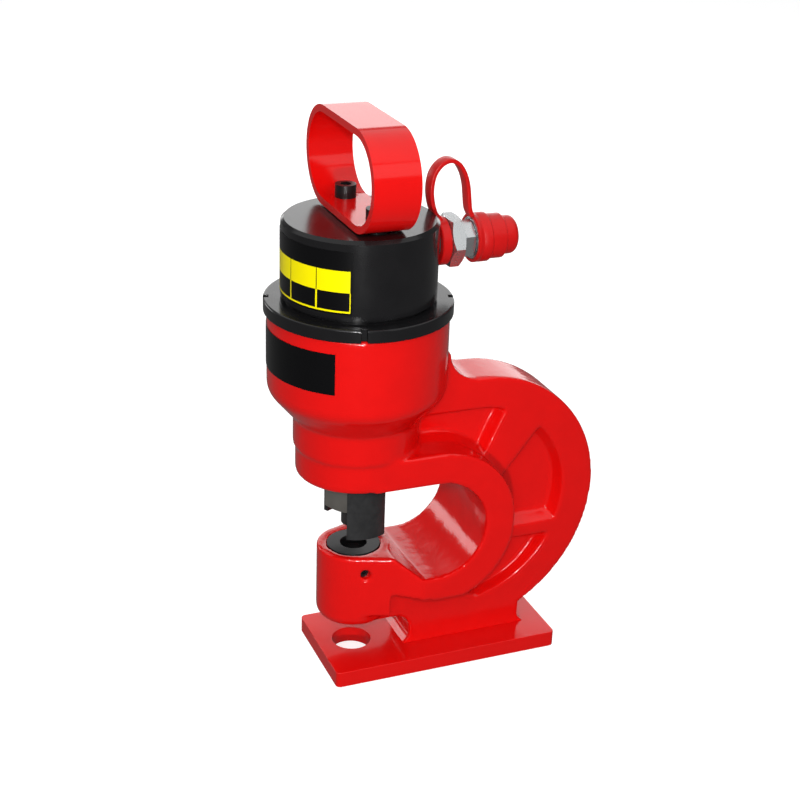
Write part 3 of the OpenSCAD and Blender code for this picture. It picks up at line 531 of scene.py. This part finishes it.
# Dust cap: a moulded red plastic cap in three steps with a domed end, pushed over the coupler's collar and
# nose. A shallow groove round its rim gives the fingers a grip.
red_plastic = finish_of("red_moulded_plastic", (0.55, 0.005, 0.005), roughness=0.34, specular=0.3, patch=0.18,
                        patch_scale=70.0, spread=0.12, grain_scale=800.0, grain_depth=0.00005)
cap_start, rim_end, middle_end, rim_radius, middle_radius = 0.08865, 0.1010, 0.11325, 0.0188, 0.0172
groove_start, groove_end, groove_slope, groove_depth = 0.0918, 0.0940, 0.0006, 0.0004
moulded_edge, step_round, step_draft, wall_draft = 0.0007, 0.0006, 0.0002, 0.0001
mouth_end, mouth_radius, cavity_end, cavity_radius = 0.1006, 0.0163, 0.1170, 0.0112
dome_start, dome_length, dome_foot, dome_radius, dome_steps = 0.1199, 0.00495, 0.0098, 0.0050, 6
cap_end, tip_radius, tip_hollow = dome_start + dome_length, 0.0030, 0.00025


def moulded_step(end, radius, next_radius):
    """The stations of a moulded shoulder: a rounded edge, then a face with a little draft."""
    return [(end - step_draft - step_round, radius), (end - step_draft, radius - step_round),
            (end, next_radius)]


dome_turns = [math.radians(90.0) * step / dome_steps for step in range(dome_steps + 1)]
dome = [(dome_start + dome_length * math.sin(a), dome_foot + dome_radius * math.cos(a)) for a in dome_turns]
cap_bm = turned([
    (cap_start, mouth_radius + wall_draft), (cap_start, rim_radius - moulded_edge),
    (cap_start + moulded_edge, rim_radius),
    (groove_start, rim_radius), (groove_start + groove_slope, rim_radius - groove_depth),
    (groove_end - groove_slope, rim_radius - groove_depth), (groove_end, rim_radius),
    *moulded_step(rim_end, rim_radius, middle_radius),
    *moulded_step(middle_end, middle_radius, dome_foot + dome_radius), *dome,
    (cap_end, tip_radius), (cap_end - tip_hollow, 0.0), (cavity_end, 0.0), (cavity_end, cavity_radius),
    (mouth_end, cavity_radius + wall_draft), (mouth_end, mouth_radius)], on_coupler_axis)
add_piece(cap_bm, "moulded_dust_cap", red_plastic, "cap_body", "red_plastic", "dust_cap")

# Cap strap: the same red plastic, a ring round the adaptor's neck and a flat band that loops up over the
# hexagons to the cap's rim, so that the cap hangs from the coupler when it is off. The band follows the cap.
ring_start, ring_end, ring_hole, ring_radius = 0.0596, 0.0672, 0.0121, 0.0185
strap_ring = turned([
    (ring_start, ring_hole), (ring_start, ring_radius - moulded_edge),
    (ring_start + moulded_edge, ring_radius), (ring_end - moulded_edge, ring_radius),
    (ring_end, ring_radius - moulded_edge), (ring_end, ring_hole)], on_coupler_axis)
add_piece(strap_ring, "strap_neck_ring", red_plastic, "frame_body", "red_plastic", "cap_strap")
band_half_width, band_half_thick, band_edge, steps_between = 0.0056, 0.0016, 0.0007, 6
band_route = [(0.0638, 0.3655), (0.0612, 0.3700), (0.0578, 0.3745), (0.0551, 0.3830), (0.0542, 0.3925),
              (0.0560, 0.4030), (0.0613, 0.4103), (0.0684, 0.4131), (0.0752, 0.4103), (0.0804, 0.4027),
              (0.0835, 0.3928), (0.0848, 0.3830), (0.0860, 0.3745), (0.0882, 0.3692)]


def smooth_route(points, steps):
    """Points on a smooth curve through the given ones."""
    route = [Vector((x, 0.0, z)) for x, z in points]
    ends = [2 * route[0] - route[1], *route, 2 * route[-1] - route[-2]]
    found = []
    for a, b, c, d in zip(ends, ends[1:], ends[2:], ends[3:]):
        for step in range(steps):
            t = step / steps
            found.append(0.5 * (2 * b + (c - a) * t + (2 * a - 5 * b + 4 * c - d) * t * t
                                + (3 * b - a - 3 * c + d) * t ** 3))
    return [*found, route[-1]]


band_bm = bmesh.new()
outline = bmesh.ops.create_grid(band_bm, x_segments=1, y_segments=1, size=1.0)["verts"]
for vert in outline:
    vert.co.x *= band_half_thick
    vert.co.y *= band_half_width
bmesh.ops.bevel(band_bm, geom=list(band_bm.verts), offset=band_edge, segments=3, profile=0.5,
                affect="VERTICES", material=-1)
band_line = smooth_route(band_route, steps_between)
band_stands = []
for place, before, after in zip(band_line, [band_line[0], *band_line], [*band_line[1:], band_line[-1]]):
    along = (after - before).normalized()
    across_line = Matrix(((along.z, 0.0, along.x), (0.0, 1.0, 0.0), (-along.x, 0.0, along.z)))
    band_stands.append(Matrix.Translation(place) @ across_line.to_4x4())
band_end = list(band_bm.faces)[0]
bmesh.ops.transform(band_bm, matrix=band_stands[0], verts=band_end.verts)
for before, after in zip(band_stands, band_stands[1:]):
    # The face that each step starts from stays inside the band.
    grown = bmesh.ops.extrude_face_region(band_bm, geom=[band_end])["geom"]
    band_end = [part for part in grown if isinstance(part, bmesh.types.BMFace)][0]
    bmesh.ops.transform(band_bm, matrix=after @ before.inverted(), verts=band_end.verts)
bmesh.ops.recalc_face_normals(band_bm, faces=band_bm.faces)
strap_band = add_piece(band_bm, "strap_band", red_plastic, None, "red_plastic", "cap_strap")
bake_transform(strap_band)
